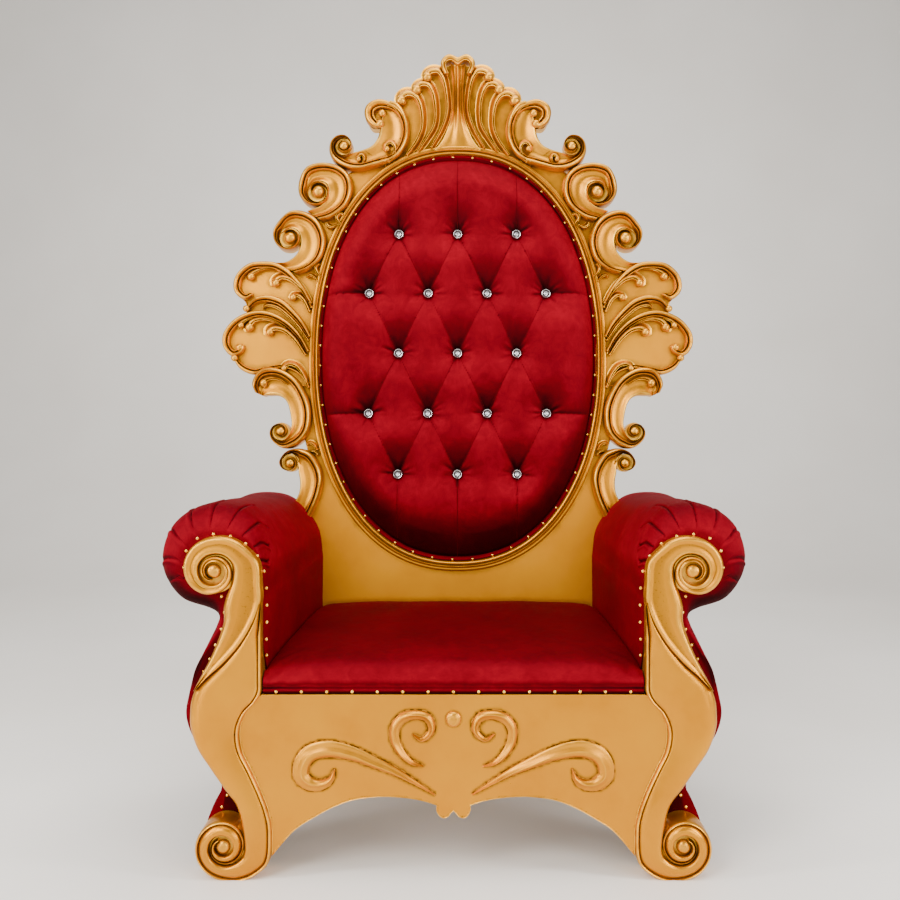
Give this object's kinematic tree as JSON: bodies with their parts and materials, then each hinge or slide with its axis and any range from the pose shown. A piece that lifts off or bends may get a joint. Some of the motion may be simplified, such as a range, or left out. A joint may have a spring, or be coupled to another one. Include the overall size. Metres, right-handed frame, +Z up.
{
  "type": "throne",
  "caption": "Tall ceremonial throne: oval buttoned velvet back in a carved scrollwork frame, rolled arms, scroll-footed legs and a velvet seat.",
  "frame": {"origin": "on the floor, at the middle of the throne's width and depth", "axes": "+Z up, -Y towards the front where the sitter's feet are, +X towards the right arm as seen from the front"},
  "size_m": [1.2304, 0.714, 1.8856],
  "materials": {
    "gold_paint": "carved wood under satin gold paint, darker in the hollows",
    "red_velvet": "red velvet over padding, tufted on the back",
    "bare_wood": "plain sawn board, not seen from above",
    "crystal": "faceted clear stone in a bright silver ring"
  },
  "bodies": {
    "root": {"back_frame": "gold_paint", "back_pad": "red_velvet", "rear_cover": "red_velvet", "button_01": "crystal", "button_02": "crystal", "button_03": "crystal", "button_04": "crystal", "button_05": "crystal", "button_06": "crystal", "button_07": "crystal", "button_08": "crystal", "button_09": "crystal", "button_10": "crystal", "button_11": "crystal", "button_12": "crystal", "button_13": "crystal", "button_14": "crystal", "button_15": "crystal", "button_16": "crystal", "button_17": "crystal", "leg_right": "gold_paint", "leg_left": "gold_paint", "front_rail": "gold_paint", "seat_cushion": "red_velvet", "seat_deck": "bare_wood", "arm_right": "red_velvet", "arm_left": "red_velvet", "rear_leg_right": "gold_paint", "rear_leg_left": "gold_paint"}
  },
  "joints": []
}
